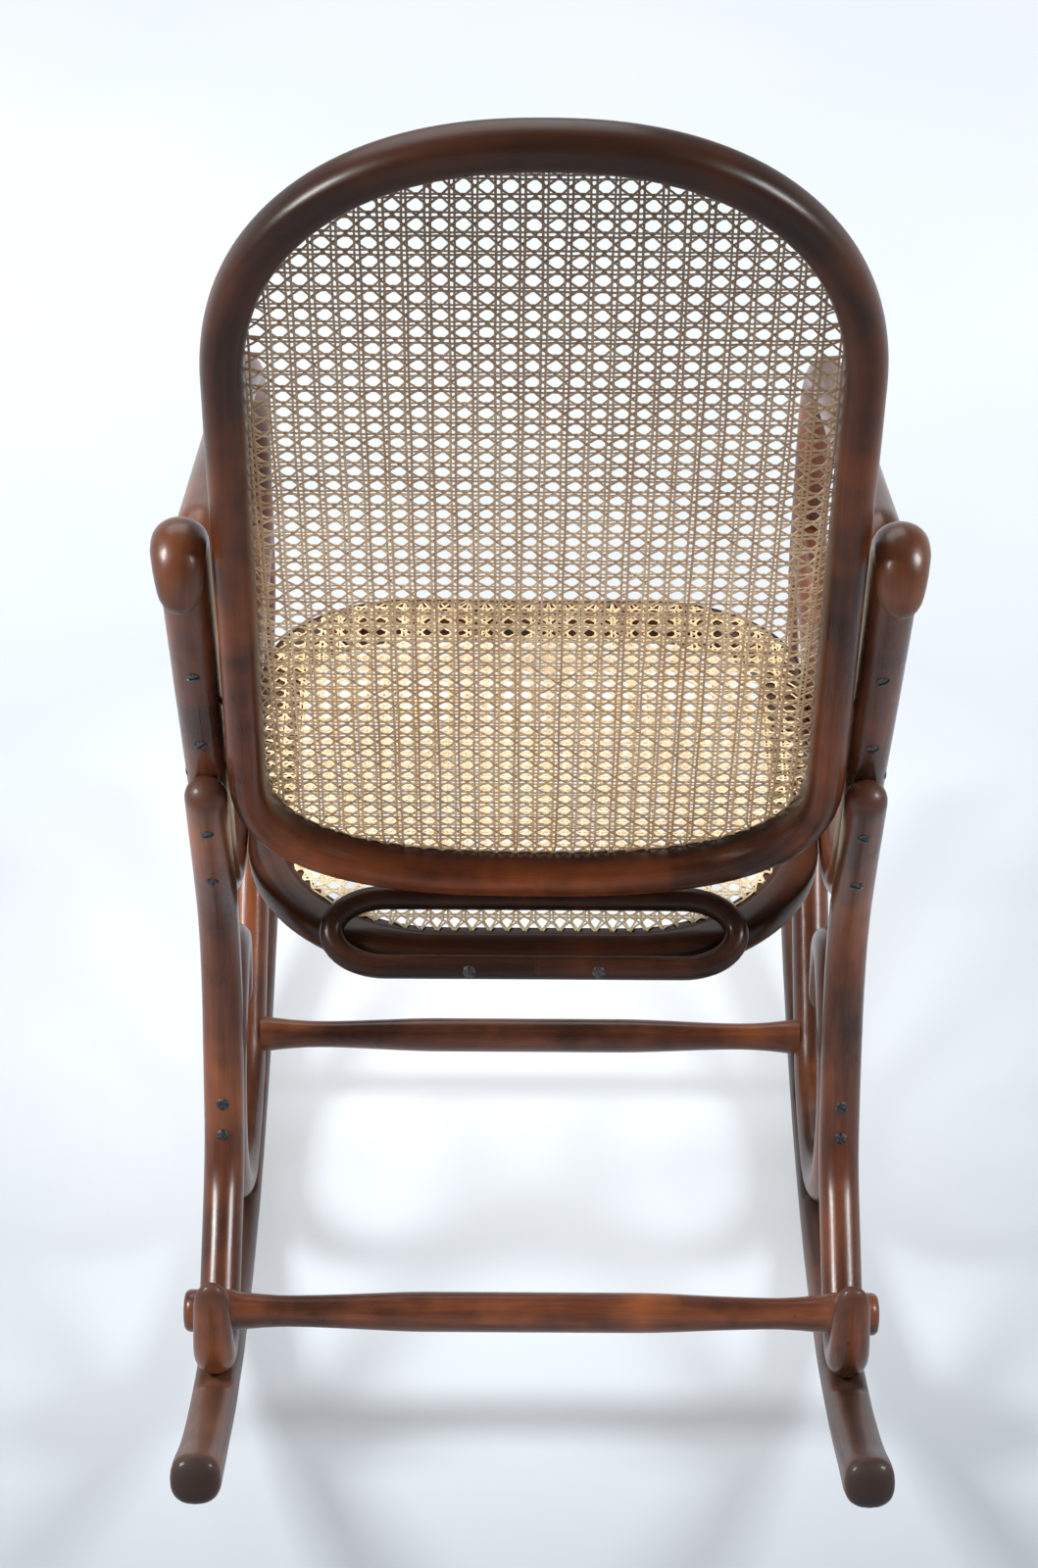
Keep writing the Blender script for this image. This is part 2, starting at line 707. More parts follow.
for sideName, sign in (("left", 1), ("right", -1)):
    bendRod("arm_scroll", sideName, sign, scrollPath, {
        "width": easeTo(rodR * 0.6, 0.1, rodR), "depth": easeTo(rodR * 0.6, 0.1, rodR),
        "ends": (16, 16), "seed": 1,
        "flats": [
            (armLapMiddle, -reclineFront, armLapHalf),
            (legRest, -towardsLoop, rest["loop"]),
            (scrollRest, scrollDown, rest["runner"]),
        ],
    }, rodWood)
    bendRod("upright", sideName, sign, uprightPath, {
        "width": fromEnd(upright["halfWidths"]), "depth": fromEnd(upright["halfDepths"]),
        "ends": (3, 17), "seed": 2, "endSquare": 2.2, "outward": 0.35,
        "flats": [(armLapMiddle, reclineFront, armLapHalf), (legLapMiddle, -reclineFront, legLapHalf)],
    }, rodWood)
    bendRod("rear_leg", sideName, sign, legCourse(), {
        "width": easeTo(rodR * 0.86, 0.12, rodR), "depth": easeTo(rodR * 0.62, 0.12, rodR),
        "ends": (15, 22), "seed": 3, "endSquare": 2.3,
        "flats": [
            (legLapMiddle, reclineFront, legLapHalf),
            (legRest, towardsLoop, rest["loop"]),
            (footRest, footDown, rest["foot"]),
        ],
    }, rodWood)
    bendRod("runner", sideName, sign, runnerCourse(), {
        "width": flared(runner["width"] / 2, runner["tipHalfWidth"], runner["widthFlare"]),
        "depth": flared(side["runnerHeight"] / 2, runner["tipHalfDepth"], runner["depthFlare"]),
        "ends": (11, 11), "seed": 4, "squareness": runner["squareness"], "endSquare": 2.2, "tipReach": 7,
        "endRound": 0.75,
        "flats": [(scrollRest, -scrollDown, rest["runner"]), (footRest, -footDown, rest["foot"])],
    }, runnerWood)
print("side frames bent")


# back and seat frames, drawn flat and laid on their panel's surface
back = {
    "setback": 14.0, "railStart": 61.0, "length": 682.0, "halfLow": 193.6, "halfHigh": 186.6,
    "topArch": 174.0, "topSquareness": 2.3, "bottomArch": 124.0, "bottomSquareness": 2.6,
    "straight": 424.0, "curve": 1240.0,
    "railWidth": 26.0, "railDepth": 33.0, "railSquareness": 2.5, "ledgeWidth": 7.0, "ledgeDepth": 7.5,
}
seat = {
    "rearY": 91.0, "frontY": -278.0, "half": 189.6,
    "rearCorner": (126.0, 112.0), "frontCorner": (98.0, 74.0),
    "railWidth": 34.0, "railHeight": 25.0, "railSquareness": 3.4,
}


def backSurface(x, up, away):
    start = onRecline(back["railStart"], -back["setback"])
    straight = np.minimum(up, back["straight"])
    turn = np.maximum(0, up - back["straight"]) / back["curve"]
    angle = side["recline"] - turn
    bendY = back["curve"] * (np.cos(angle) - math.cos(side["recline"]))
    bendZ = back["curve"] * (math.sin(side["recline"]) - np.sin(angle))
    y = start.x + math.sin(side["recline"]) * straight + bendY + np.cos(angle) * away
    z = start.y + math.cos(side["recline"]) * straight + bendZ - np.sin(angle) * away
    return np.stack([x + 0 * y, y + rockerY, z], -1) * mm


def seatSurface(x, along, away):
    c, s = math.cos(side["seatRise"]), math.sin(side["seatRise"])
    y = along * c - away * s
    z = side["seatHeight"] - along * s - away * c
    return np.stack([x + 0 * y, y + rockerY, z + 0 * x], -1) * mm


def backOutline():
    topStart = back["length"] - back["topArch"]
    low, high, arch = back["halfLow"], back["halfHigh"], back["bottomArch"]

    def fullArch(foot, half, rise, squareness, start, end):
        steps, power = round(480 * (end - start)), 2 / squareness
        for k in range(steps + 1):
            turn = 2 * math.pi * (start + (end - start) * k / steps)
            c, s = math.cos(turn), math.sin(turn)
            across, up = math.copysign(abs(c) ** power, c), math.copysign(abs(s) ** power, s)
            course.append(Vector((half * across, foot + rise * up)))

    course = []
    fullArch(arch, low, arch, back["bottomSquareness"], -0.25, 0)
    fullArch(topStart, high, back["topArch"], back["topSquareness"], 0, 0.5)
    fullArch(arch, low, arch, back["bottomSquareness"], 0.5, 0.75)
    return course


def seatOutline():
    (rearW, rearD), (frontW, frontD) = seat["rearCorner"], seat["frontCorner"]
    half = seat["half"]
    rear, front = seat["rearY"] - rearD, seat["frontY"] + frontD
    course = [Vector((0, seat["frontY"]))]
    course += arcCourse((half - frontW, front), frontW, -math.pi / 2, 0, frontD)
    course += arcCourse((half - rearW, rear), rearW, 0, math.pi / 2, rearD)
    course += arcCourse((rearW - half, rear), rearW, math.pi / 2, math.pi, rearD)
    course += arcCourse((frontW - half, front), frontW, math.pi, 1.5 * math.pi, frontD)
    return course


def walkEvenly(outline, step):
    def spread(total):
        return np.arange(round(total / step)) * total / round(total / step)

    return walk(outline, spread, closed=True)[:3]


# a closed rail: section points carried round the outline, closed by bridging the last ring to the first
def bendLoop(name, outline, section, surface, finish, shape=None, seed=0, step=7):
    distances, here, ahead = walkEvenly(outline, step)
    bm = bmesh.new()
    sectionLayer = bm.verts.layers.float_vector.new("section")
    blank = bm.verts.layers.float_vector.new("blank")
    tip = bm.verts.layers.float.new("tip")
    verts = []
    for u, v in section:
        corner = bm.verts.new((u, v, 0))
        corner[sectionLayer] = (u, v, 0)
        verts.append(corner)
    edges = [bm.edges.new((verts[k], verts[k - 1])) for k in range(len(verts))]
    firstEdges = edges

    def placeRing(ring, k):
        uv = np.array([tuple(v[sectionLayer])[:2] for v in ring])
        if shape:
            uv = shape(uv, here[k])
        swell = 1 + 0.01 * math.sin(distances[k] * 0.013 + seed)
        u, w = uv[:, 0] * swell, uv[:, 1]
        where = surface(here[k][0] + ahead[k][1] * u, here[k][1] - ahead[k][0] * u, w)
        for v, p, (a, b) in zip(ring, where, uv):
            v.co = p
            v[blank] = Vector((a, b, distances[k] + 4000 * seed)) * mm
            v[tip] = 0

    placeRing(verts, 0)
    for k in range(1, len(distances)):
        verts, edges = nextRing(bm, edges)
        placeRing(verts, k)
    bmesh.ops.bridge_loops(bm, edges=firstEdges + edges)
    softShade(bm)
    newPiece(name, bm, [finish], [name])


def roundSection(width, depth, squareness, sides=36):
    points = []
    for k in range(sides):
        a = 2 * math.pi * (k + 0.5) / sides
        c, s = math.cos(a), math.sin(a)
        points.append((math.copysign(abs(c) ** (2 / squareness), c) * width / 2,
                       math.copysign(abs(s) ** (2 / squareness), s) * depth / 2))
    return points


def ledgeSection(width, depth, ledgeWidth, ledgeDepth, squareness):
    ledgeU, ledgeV = ledgeWidth - width / 2, ledgeDepth - depth / 2
    points, ledged = [], False
    for u, v in roundSection(width, depth, squareness):
        if u >= ledgeU or v >= ledgeV:
            points.append((u, v))
        elif not ledged:
            ledged = True
            inner = -width / 2 * (1 - abs(2 * ledgeV / depth) ** squareness) ** (1 / squareness)
            face = -depth / 2 * (1 - abs(2 * ledgeU / width) ** squareness) ** (1 / squareness)
            points += [(inner, ledgeV + 0.8), (inner + 0.8, ledgeV), (ledgeU - 0.5, ledgeV)]
            points += [(ledgeU, ledgeV - 0.5), (ledgeU, face + 0.9), (ledgeU + 0.5, face)]
    return points


backRing = backOutline()
seatRing = seatOutline()
backSection = ledgeSection(back["railWidth"], back["railDepth"], back["ledgeWidth"], back["ledgeDepth"],
                           back["railSquareness"])
bendLoop("back_frame", backRing, backSection, backSurface, frameWood, seed=5)

# the cane lies over the rail's top, nearly to its rim at the front and just past its inner edge at the rear
cover = {"rear": -8.5, "front": 12.5, "top": 10.4, "fadeFrom": 20.0, "fadeTo": -90.0}


def coverReach(y):
    t = np.clip((cover["fadeFrom"] - y) / (cover["fadeFrom"] - cover["fadeTo"]), 0, 1)
    return cover["rear"] + (cover["front"] - cover["rear"]) * eased(t)


def underCane(uv, here):
    out = uv.copy()
    low = (uv[:, 1] < -cover["top"]) & (uv[:, 0] < coverReach(here[1]))
    out[low, 1] = -cover["top"]
    return out


seatSection = roundSection(seat["railWidth"], seat["railHeight"], seat["railSquareness"], 44)
bendLoop("seat_frame", seatRing, seatSection, seatSurface, frameWood, shape=underCane, seed=6)

# oval ring between the back's bottom rail and the seat's rear rail
ring = {
    "width": 300.0, "rod": 17.0, "lowRise": 8.0, "topSetback": 7.0,
    "seatClearance": 0.6, "railClearance": 0.8, "screws": 45.0,
}


def planeOf(v):
    return Vector((v[1] / mm - rockerY, v[2] / mm))


backFoot = planeOf(backSurface(0, 0, 0))
seatRear = planeOf(seatSurface(0, seat["rearY"], 0))
railPower = back["railSquareness"]
railThere = (1 - (2 * ring["topSetback"] / back["railDepth"]) ** railPower) ** (1 / railPower)
ringTop = backFoot - reclineUp * ((back["railWidth"] * railThere + ring["rod"]) / 2 + ring["railClearance"])
ringTop -= reclineFront * ring["topSetback"]
ringReach = seat["railWidth"] / 2 + ring["rod"] / 2 + ring["seatClearance"]
ringBack = math.sqrt(ringReach ** 2 - ring["lowRise"] ** 2) + side["gap"]
ringLow = seatRear + Vector((ringBack, ring["lowRise"]))


def makeRing():
    height = (ringTop - ringLow).length
    up = (ringTop - ringLow).normalized()
    straight = (ring["width"] - ring["rod"]) / 2 - height * 0.75
    course = [Vector((0, 0))]
    course += arcCourse((straight, height / 2), height * 0.75, -math.pi / 2, math.pi / 2, height / 2)
    course += arcCourse((-straight, height / 2), height * 0.75, math.pi / 2, 1.5 * math.pi, height / 2)

    def surface(x, along, away):
        y = ringLow.x + up.x * along + up.y * away
        z = ringLow.y + up.y * along - up.x * away
        return np.stack([x + 0 * y, y + rockerY, z + 0 * x], -1) * mm

    section = roundSection(ring["rod"], ring["rod"], 2, 24)
    bendLoop("back_link_ring", course, section, surface, ringWood, seed=7, step=4)


makeRing()
print("frames and ring bent")


def spinProfile(bm, points, axis, steps):
    verts = [bm.verts.new(p) for p in points]
    edges = [bm.edges.new(pair) for pair in zip(verts, verts[1:])]
    bmesh.ops.spin(bm, geom=verts + edges, cent=(0, 0, 0), axis=axis, angle=2 * math.pi, steps=steps,
                   use_merge=True)
    bmesh.ops.remove_doubles(bm, verts=bm.verts, dist=0.01)


# turned stretchers, as (radius, distance): shoulders from the side rod's inner face, tips from the end
inner = side["x"] - rodR
stretchers = {
    "rear_stretcher": {
        "at": footCentre, "seed": 8, "middle": 14.1, "neck": 11.0, "neckIn": 36,
        "shoulder": ((11.1, -30), (11.7, -19), (12.6, -9), (13.2, -1), (15.0, 3)),
        "end": side["x"] + rodR + 8.0,
        "tip": ((15.0, -5), (14.3, -2.6), (12.4, -0.9), (8.5, -0.2), (0, 0)),
    },
    "front_stretcher": {
        "at": frontStretcherAt, "seed": 9, "middle": 13.2, "neck": 10.3, "neckIn": 42,
        "shoulder": ((10.5, -32), (11.3, -20), (12.5, -9), (13.5, -2), (13.2, 4), (7.5, 4.2)),
        "end": inner + 16,
        "tip": ((7.5, 0), (0, 0)),
    },
}
turning = {"steps": 36, "waver": 0.008, "waverPitch": 0.03, "straight": 0.18, "taper": 0.33, "endGrain": 2.5}


def halfProfile(one):
    middle, taperFrom = one["middle"], inner * turning["taper"]
    points = [(middle, 0), (middle, inner * turning["straight"])]
    for k in range(13):
        t = k / 12
        reach = taperFrom + (inner - one["neckIn"] - taperFrom) * t
        points.append((middle + (one["neck"] - middle) * eased(t), reach))
    points += [(r, inner + x) for r, x in one["shoulder"]]
    return points + [(r, one["end"] + x) for r, x in one["tip"]]


def turnStretcher(name, one):
    half, at, seed = halfProfile(one), one["at"], one["seed"]
    bm = bmesh.new()
    blank = bm.verts.layers.float_vector.new("blank")
    tip = bm.verts.layers.float.new("tip")
    profile = [(r, -x) for r, x in reversed(half)] + half[1:]
    spinProfile(bm, [(x, r, 0) for r, x in profile], (1, 0, 0), turning["steps"])
    for v in bm.verts:
        x, y, z = v.co
        swell = 1 + turning["waver"] * noise.noise(Vector((x * turning["waverPitch"], seed, 0)))
        v[blank] = Vector((y, z, x + 5000 * seed)) * mm
        v[tip] = max(0.0, 1 - (one["end"] - abs(x)) / turning["endGrain"])
        v.co = Vector((x, at.x + y * swell + rockerY, at.y + z * swell)) * mm
    softShade(bm)
    newPiece(name, bm, [rodWood], [name])


for name, one in stretchers.items():
    turnStretcher(name, one)
print("stretchers turned")


# slotted screws, heads sunk level with the wood
screw = {
    "head": 4.5, "rim": 1.5, "top": 2.5, "shank": 2.1, "point": 4.0, "crown": ((0.84, 2.1), (0.45, 2.42)),
    "slotCuts": (-0.75, -0.5, 0.5, 0.75), "slotHalf": 0.6, "slotDepth": 0.9,
    "rodLength": 36, "railLength": 42, "frontLength": 46, "ringLength": 26,
    "sink": 1.3, "railSink": 3.2, "runnerSink": 6.0, "ringSink": 1.4,
    "armAt": (scroll["lapStart"] + 38, scroll["lapEnd"] - 10), "armOut": 1.2,
    "legAt": (leg["lapEnd"] - 97, leg["lapEnd"] - 39), "loopAt": (-8 * deg, 8 * deg),
    "seatAt": (-60, -150), "backAt": (168, 244), "backOffset": -2.0, "backOut": 1.0, "topSpread": 1.4,
}


def screwBlank(length):
    bm = bmesh.new()
    head, shank = screw["head"], screw["shank"]
    profile = [(0, -length), (shank, screw["point"] - length), (shank, 0), (head, 0), (head, screw["rim"])]
    profile += [(head * share, z) for share, z in screw["crown"]] + [(0, screw["top"])]
    spinProfile(bm, [(r, 0, z) for r, z in profile], (0, 0, 1), 20)
    for offset in screw["slotCuts"]:
        geom = bm.verts[:] + bm.edges[:] + bm.faces[:]
        bmesh.ops.bisect_plane(bm, geom=geom, plane_co=(0, offset, 0), plane_no=(0, 1, 0), dist=0.001)
    for v in bm.verts:
        if v.co.z > screw["rim"] - 0.2 and abs(v.co.y) < screw["slotHalf"]:
            v.co.z -= screw["slotDepth"]
    bmesh.ops.recalc_face_normals(bm, faces=bm.faces)
    return bm


def sidePoint(p, sign, outward=0.0):
    return Vector((sign * (side["x"] + outward), p.x, p.y))


def inPlane(v):
    return Vector((0, v.x, v.y))


legPath = legCourse()


# the leg's rear surface beside a point of the loop's screws
def legBehind(p):
    points, ahead = walk(legPath, lambda total: np.arange(0, total, 1.0))[1:3]
    near = int(np.argmin(np.linalg.norm(points - np.array(p), axis=1)))
    normal = Vector((-ahead[near][1], ahead[near][0]))
    if normal.dot(towardsLoop) > 0:
        normal = -normal
    return Vector(points[near]) + normal * rodR


screws = []  # (cad node, head's place, direction, length, sink)
seatAlong = Vector((1, -math.tan(side["seatRise"]))).normalized()
loopAcross = Vector((-towardsLoop.y, towardsLoop.x))


def addPair(kind, sideName, heads, length, sink=screw["sink"]):
    for k, (at, direction) in enumerate(heads):
        screws.append((f"{kind}_screw_{sideName}_{k + 1}", at, direction, length, sink))


def screwSide(sideName, sign):
    ahead, inwards = inPlane(reclineFront), Vector((-sign, 0, 0))
    arm = [sidePoint(onRecline(d, -rodR), sign, screw["armOut"]) for d in screw["armAt"]]
    addPair("arm", sideName, [(at, ahead) for at in arm], screw["rodLength"])
    lap = [sidePoint(onRecline(d, -lapSpacing - rodR), sign) for d in screw["legAt"]]
    addPair("leg", sideName, [(at, ahead) for at in lap], screw["rodLength"])
    loop = [legBehind(legTouch + loopAcross * math.tan(a) * scroll["loop"]) for a in screw["loopAt"]]
    addPair("loop", sideName, [(sidePoint(p, sign), inPlane(towardsLoop)) for p in loop], screw["rodLength"])
    low = [sidePoint(Vector((y, seatZ(y))), sign, rodR) for y in screw["seatAt"]]
    addPair("seat", sideName, [(at, inwards) for at in low], screw["railLength"], screw["railSink"])
    high = [onRecline(d, screw["backOffset"]) for d in screw["backAt"]]
    high = [sidePoint(p, sign, rodR + screw["backOut"]) for p in high]
    addPair("back", sideName, [(at, inwards) for at in high], screw["railLength"], screw["railSink"])
    front = sidePoint(scrollFront - seatAlong * rodR, sign)
    screws.append((f"front_screw_{sideName}", front, inPlane(seatAlong), screw["frontLength"], screw["sink"]))
    under = [(rocking + down * side["rocker"], -down) for down in (scrollDown, footDown)]
    under = [(sidePoint(p, sign), inPlane(up)) for p, up in under]
    addPair("runner", sideName, under, screw["rodLength"], screw["runnerSink"])


def screwRing(sideName, x):
    length, sink = screw["ringLength"], screw["ringSink"]
    rows = ("low", ringLow, (seatRear - ringLow).normalized(), 1), ("top", ringTop, reclineUp, screw["topSpread"])
    for end, middle, direction, spread in rows:
        at = middle - direction * ring["rod"] / 2
        place = Vector((x * spread, at.x, at.y))
        screws.append((f"ring_screw_{end}_{sideName}", place, inPlane(direction), length, sink))


screwSide("left", 1)
screwSide("right", -1)
screwRing("right", -ring["screws"])
screwRing("left", ring["screws"])


def driveScrews():
    whole = bmesh.new()
    for node, at, direction, length, sink in screws:
        one = screwBlank(length)
        turn = Vector((0, 0, -1)).rotation_difference(direction).to_matrix().to_4x4()
        spin = Matrix.Rotation(random.uniform(0, math.pi), 4, "Z")
        place = Matrix.Translation(at + direction * sink + Vector((0, rockerY, 0))) @ turn @ spin
        bmesh.ops.transform(one, matrix=Matrix.Scale(mm, 4) @ place, verts=one.verts)
        softShade(one, 30)
        part = bpy.data.meshes.new("screw")
        one.to_mesh(part)
        one.free()
        whole.from_mesh(part)
        bpy.data.meshes.remove(part)
    newPiece("screws", whole, [darkSteel], [s[0] for s in screws], recalc=False)


driveScrews()
print("screws driven")


# six-way cane: pairs up, pairs across, and two diagonals that cut the corners of every opening
cane = {
    "strand": 1.5, "widths": (0.93, 1.07), "pairGap": 1.5, "thick": 0.5, "crown": 0.22, "segments": 4,
    "bareEdge": 7.5, "shortest": 12, "wander": 0.3, "wanderPitch": 0.045,
    "upLow": -0.45, "upHigh": 0.15, "acrossPair": 0.15, "acrossWave": 0.3, "diagonalWave": 0.62,
    "fan": 12.0, "dip": 1.6, "dipReach": 1.8, "binder": 3.0, "binderHeight": 1.25,
}


def clipLine(ring, origin, direction):
    a = ring
    b = np.roll(ring, -1, axis=0)
    normal = np.array([-direction[1], direction[0]])
    da, db = (a - origin) @ normal, (b - origin) @ normal
    hit = (da > 0) != (db > 0)
    if hit.sum() < 2:
        return None
    share = (da[hit] / (da[hit] - db[hit]))[:, None]
    t = ((a[hit] + (b[hit] - a[hit]) * share) - origin) @ direction
    return t.min(), t.max()


def strandLines(panel, kinds):
    ringLine, pitch, middle = panel["ring"], panel["pitch"], panel["middle"]
    low, high = ringLine.min(axis=0) + cane["bareEdge"], ringLine.max(axis=0) - cane["bareEdge"]
    lines = []
    for axis, kind in enumerate(("up", "across")):
        for k in range(-40, 41) if kind in kinds else ():
            for pairSide in (-1, 1):
                origin = np.array(middle)
                origin[axis] = middle[axis] + k * pitch + pairSide * cane["pairGap"]
                if low[axis] < origin[axis] < high[axis]:
                    lines.append((origin, np.eye(2)[1 - axis], kind, pairSide))
    for kind, slope in (("rise", 1), ("fall", -1)):
        direction = np.array([pitch, slope * pitch])
        direction = direction / np.linalg.norm(direction)
        for k in range(-90, 91) if kind in kinds else ():
            lines.append((np.array([middle[0] + (k + 0.5) * pitch, middle[1]]), direction, kind, slope))
    return lines


# one strand from edge to edge: places, directions across, heights, width and distances
def layStrand(panel, line, reach):
    origin, direction, kind, pairSide = line
    pitch, holes = panel["pitch"], panel["holes"]
    across = np.array([-direction[1], direction[0]])
    span = math.hypot(pitch, pitch) if kind in ("rise", "fall") else pitch
    step = span / cane["segments"]
    t = np.arange(math.ceil(reach[0] / step), math.floor(reach[1] / step) + 1) * step
    t = np.unique(np.clip(np.r_[reach[0], reach[0] + 2, t, reach[1] - 2, reach[1]], *reach))
    sway = np.sin(t * cane["wanderPitch"] + random.uniform(0, 6)) + random.uniform(-0.6, 0.6)
    here = origin + t[:, None] * direction + (cane["wander"] * sway)[:, None] * across
    if kind == "up":
        height = np.full(len(t), cane["upHigh"] if pairSide > 0 else cane["upLow"])
    elif kind == "across":
        height = pairSide * cane["acrossPair"] - cane["acrossWave"] * np.cos(t / span * 2 * math.pi)
    else:
        turn = (here[:, 0] - panel["middle"][0]) / pitch * 2 * math.pi + (math.pi if kind == "rise" else 0)
        height = cane["diagonalWave"] * np.cos(turn)
    for end in (0, -1):
        nearest = holes[np.argmin(np.linalg.norm(holes - here[end], axis=1))]
        reachIn = np.abs(t - t[end])
        pull = eased(np.clip(1 - reachIn / cane["fan"], 0, 1))
        here = here + (nearest - here[end]) * pull[:, None]
        height = height - cane["dip"] * np.clip(1 - reachIn / cane["dipReach"], 0, 1)
    return here, np.tile(across, (len(t), 1)), height, cane["strand"] * random.uniform(*cane["widths"]), t


def layBinder(ringLine):
    closed = np.vstack([ringLine, ringLine[:1]])
    ahead = np.roll(ringLine, -1, axis=0) - np.roll(ringLine, 1, axis=0)
    ahead = ahead / np.linalg.norm(ahead, axis=1)[:, None]
    across = np.stack([-ahead[:, 1], ahead[:, 0]], -1)
    t = np.r_[0, np.cumsum(np.linalg.norm(np.diff(closed, axis=0), axis=1))]
    return closed, np.vstack([across, across[:1]]), np.full(len(t), cane["binderHeight"]), cane["binder"], t


def weave(name, panel, kinds, nodes):
    runs = []
    for line in strandLines(panel, kinds):
        reach = clipLine(panel["ring"], *line[:2])
        if reach and reach[1] - reach[0] >= cane["shortest"]:
            runs.append(layStrand(panel, line, reach))
    if "binder" in kinds:
        runs.append(layBinder(panel["ring"]))

    # one long ribbon, parted between the strands, then laid strand by strand
    places, acrosses, heights, widths, distances = zip(*runs)
    lengths = [len(t) for t in distances]
    total = sum(lengths)
    bm = bmesh.new()
    bmesh.ops.create_grid(bm, x_segments=total - 1, y_segments=2, size=1)
    breaks = set((np.cumsum(lengths)[:-1] - 1).tolist())
    loose = [f for f in bm.faces if int((f.calc_center_median().x + 1) / 2 * (total - 1)) in breaks]
    bmesh.ops.delete(bm, geom=loose, context="FACES_ONLY")
    bmesh.ops.delete(bm, geom=[e for e in bm.edges if not e.link_faces], context="EDGES")
    mesh = bpy.data.meshes.new(name)
    bm.to_mesh(mesh)
    bm.free()
    flat = np.empty(len(mesh.vertices) * 3, np.float32)
    mesh.vertices.foreach_get("co", flat)
    flat = flat.reshape(-1, 3)
    column = np.rint((flat[:, 0] + 1) / 2 * (total - 1)).astype(int)
    row = np.rint(flat[:, 1]).astype(int)  # -1, 0 or 1 across the strand
    strand = np.repeat(np.arange(len(runs)), lengths)[column]
    aside = row * np.array(widths)[strand] / 2
    place = np.vstack(places)[column] + np.vstack(acrosses)[column] * aside[:, None]
    lift = np.concatenate(heights)[column] + np.where(row == 0, cane["crown"], 0)
    where = panel["surface"](place[:, 0], place[:, 1], panel["level"] - lift)
    mesh.vertices.foreach_set("co", where.astype(np.float32).ravel())
    tone = np.random.default_rng(len(name)).uniform(0, 1, len(runs))[strand]
    blank = np.stack([aside, strand * 7.3, np.concatenate(distances)[column]], -1) * mm
    layers = ("tone", "FLOAT", "value", tone), ("blank", "FLOAT_VECTOR", "vector", blank)
    for layer, kind, part, values in layers:
        data = mesh.attributes.new(layer, kind, "POINT").data
        data.foreach_set(part, values.astype(np.float32).ravel())
    mesh.polygons.foreach_set("use_smooth", np.ones(len(mesh.polygons), bool))
    mesh.update()
    obj = placePiece(name, mesh, panel["finishes"], nodes)
    thicken = obj.modifiers.new("thickness", "SOLIDIFY")
    thicken.thickness = cane["thick"] * mm
    thicken.offset = -1
    thicken.material_offset = 1
    thicken.material_offset_rim = 1
    print(name, "strands", len(runs), "faces", len(mesh.polygons))


def insetLine(outline, inset, step):
    here, ahead = walkEvenly(outline, step)[1:]
    u = inset(here)
    return np.stack([here[:, 0] + ahead[:, 1] * u, here[:, 1] - ahead[:, 0] * u], -1)


panels = {
    "back_cane": {
        "outline": backRing, "inset": lambda p: -9.6, "step": 4.4, "pitch": 13.3, "middle": (0.0, 335.0),
        "surface": backSurface, "level": -10.3, "finishes": (caneSkin, canePith),
        "diagonals": ("rise", "fall", "binder"),
    },
    "seat_cane": {
        "outline": seatRing, "inset": lambda p: coverReach(p[:, 1]) - 1.5, "step": 4.1, "pitch": 12.4,
        "middle": (0.0, -95.0), "surface": seatSurface, "level": -11.3, "finishes": (seatSkin, caneSkin),
        "diagonals": ("rise", "fall"),
    },
}
for node, panel in panels.items():
    panel["ring"] = insetLine(panel["outline"], panel["inset"], panel["step"])
    panel["holes"] = insetLine(panel["outline"], panel["inset"], panel["pitch"])
    for kinds in (("up",), ("across",), panel["diagonals"]):
        weave(f"{node}_{kinds[0] if len(kinds) == 1 else 'diagonals'}", panel, kinds, [node])
print("cane woven")


# floor and light
studio = {
    "floor": stops((0.3, 0.6), (152, 159, 167), (158, 164, 171)),
    "floorSize": 24,
    "floorShader": {"Roughness": 0.6, "Specular IOR Level": 0.2, "Emission Color": (0.94, 0.97, 1.0, 1)},
    "glow": (-1.25, 0.42, 0.56, 0.09),
    "farGlow": (0.9, 2.6, 0.0, 0.66),
    "underAt": (0.0, -0.15, 0.0),
    "underGlow": (0.12, 0.62, 0.42, 0),
    "world": (0.90, 0.94, 1.0, 1),
    "sky": (0.1, 0.55, 0.5, 0.14),
    "behind": (-0.1, 0.7, 1.0, 0.8),
    "backdrop": (0.0, 0.2, 0.42, 0),
}


# only what the camera and mirror rays see
def seenRays(tree):
    rays = addNode(tree, "ShaderNodeLightPath").outputs
    return combine(tree, "MAXIMUM", rays["Is Camera Ray"], rays["Is Glossy Ray"])


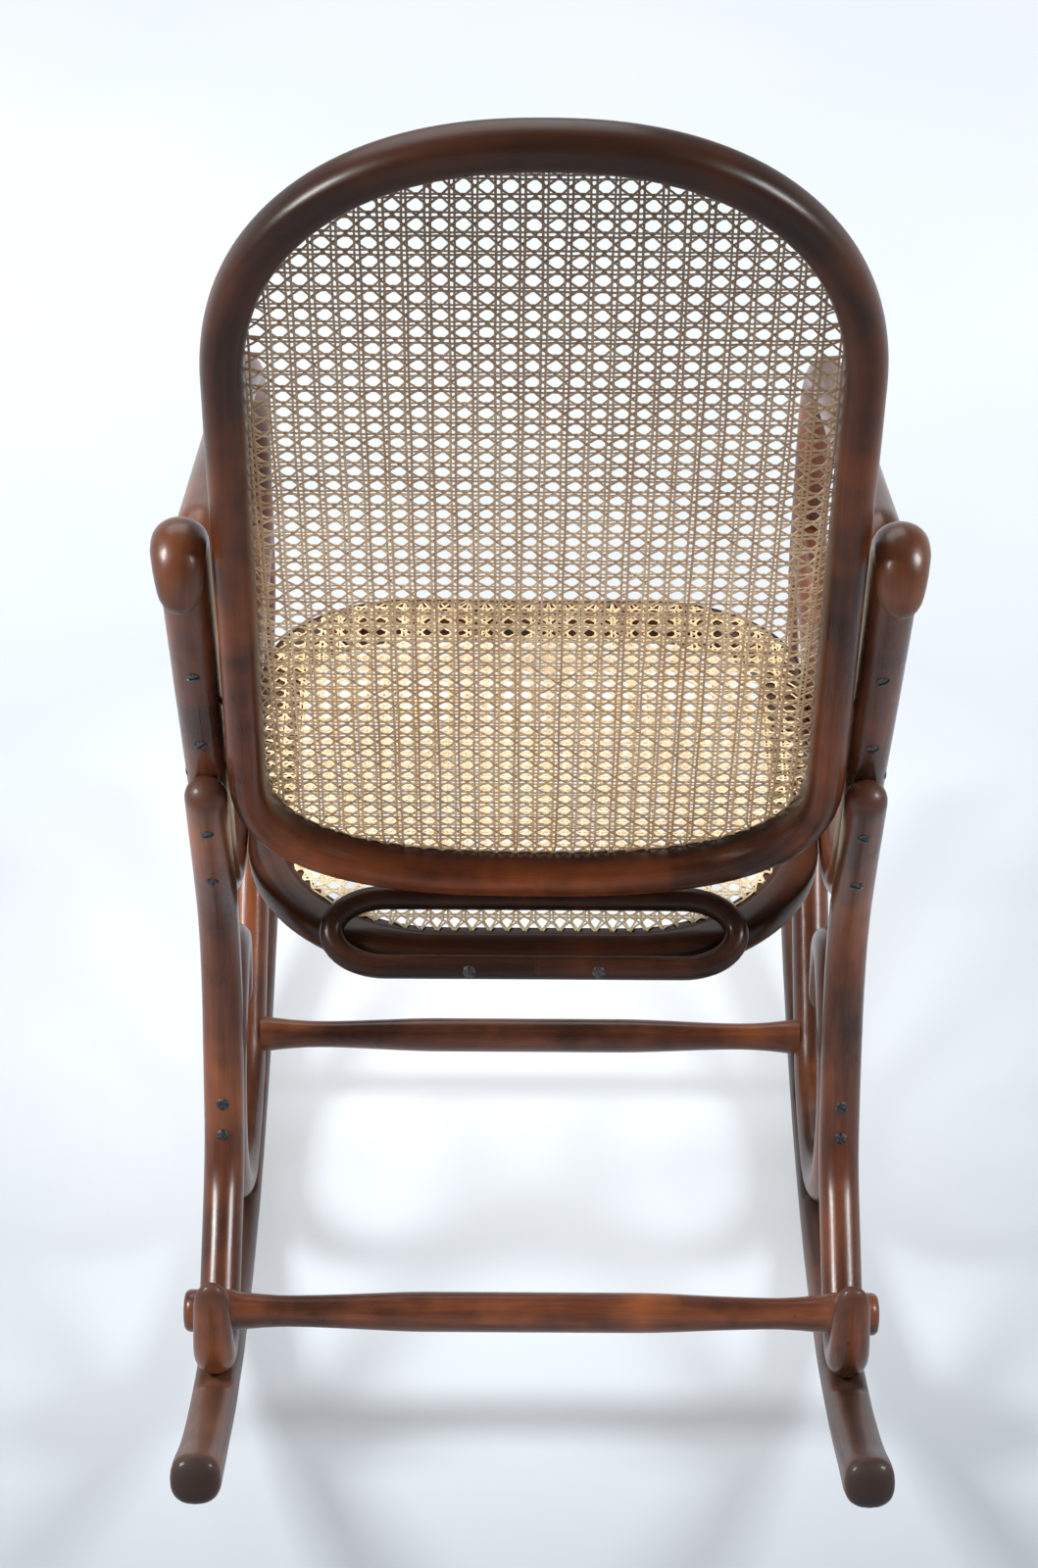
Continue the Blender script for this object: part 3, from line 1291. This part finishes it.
def layFloor():
    bm = bmesh.new()
    bmesh.ops.create_grid(bm, x_segments=2, y_segments=2, size=studio["floorSize"])
    mesh = bpy.data.meshes.new("floor")
    bm.to_mesh(mesh)
    bm.free()
    finish, tree, shader = newFinish("studio_floor")
    place = addNode(tree, "ShaderNodeTexCoord").outputs["Object"]
    shade = colourRamp(tree, stretchedNoise(tree, place, (1.6, 1.6, 1.6), 2), studio["floor"])
    tree.links.new(shade, shader.inputs["Base Color"])
    preset(shader, studio["floorShader"])
    glow = mapRange(tree, axisOf(tree, place, "Y"), *studio["glow"])
    under = addNode(tree, "ShaderNodeVectorMath", operation="DISTANCE")
    under.inputs[1].default_value = studio["underAt"]
    tree.links.new(place, under.inputs[0])
    away = under.outputs["Value"]
    glow = combine(tree, "MAXIMUM", glow, mapRange(tree, away, *studio["farGlow"]))
    glow = combine(tree, "ADD", glow, mapRange(tree, away, *studio["underGlow"]))
    tree.links.new(combine(tree, "MULTIPLY", seenRays(tree), glow), shader.inputs["Emission Strength"])
    mesh.materials.append(finish)
    floor = bpy.data.objects.new("floor", mesh)
    bpy.context.scene.collection.objects.link(floor)


def lightSky():
    world = bpy.data.worlds.new("studio")
    world.use_nodes = True
    sky = world.node_tree
    towards = addNode(sky, "ShaderNodeTexCoord").outputs["Generated"]
    height = axisOf(sky, towards, "Z")
    rise = mapRange(sky, height, *studio["sky"])
    behind = mapRange(sky, axisOf(sky, towards, "Y"), *studio["behind"])
    backdrop = combine(sky, "MULTIPLY", seenRays(sky), mapRange(sky, height, *studio["backdrop"]))
    strength = combine(sky, "ADD", combine(sky, "MULTIPLY", rise, behind), backdrop)
    sky.nodes["Background"].inputs["Color"].default_value = studio["world"]
    sky.links.new(strength, sky.nodes["Background"].inputs["Strength"])
    bpy.context.scene.world = world


# place, aim, size, power and colour
softboxes = {
    "left": ((2.2, 0.35, 2.3), (0, -0.1, 0.3), (0.7, 0.9), 108, (1, 0.985, 0.965)),
    "right": ((-2.2, 0.35, 2.3), (0, -0.1, 0.3), (0.7, 0.9), 74, (0.97, 0.985, 1)),
    "front": ((0.5, -2.4, 2.6), (0, -0.1, 0.3), (2.4, 1.6), 34, (1, 0.99, 0.98)),
    "behind": ((0.4, 3.1, 1.5), (0, 0, 0.5), (2.6, 1.4), 42, (1, 0.985, 0.97)),
}


def hangSoftbox(name, at, aim, size, power, colour):
    data = bpy.data.lights.new(name, "AREA")
    data.shape = "RECTANGLE"
    data.size, data.size_y = size
    data.energy = power
    data.color = colour
    lamp = bpy.data.objects.new(name, data)
    lamp.location = at
    lamp.rotation_euler = (Vector(aim) - Vector(at)).to_track_quat("-Z", "Y").to_euler()
    lamp.visible_glossy = name != "behind"
    bpy.context.scene.collection.objects.link(lamp)


layFloor()
lightSky()
for name, values in softboxes.items():
    hangSoftbox(name, *values)
print("light set")
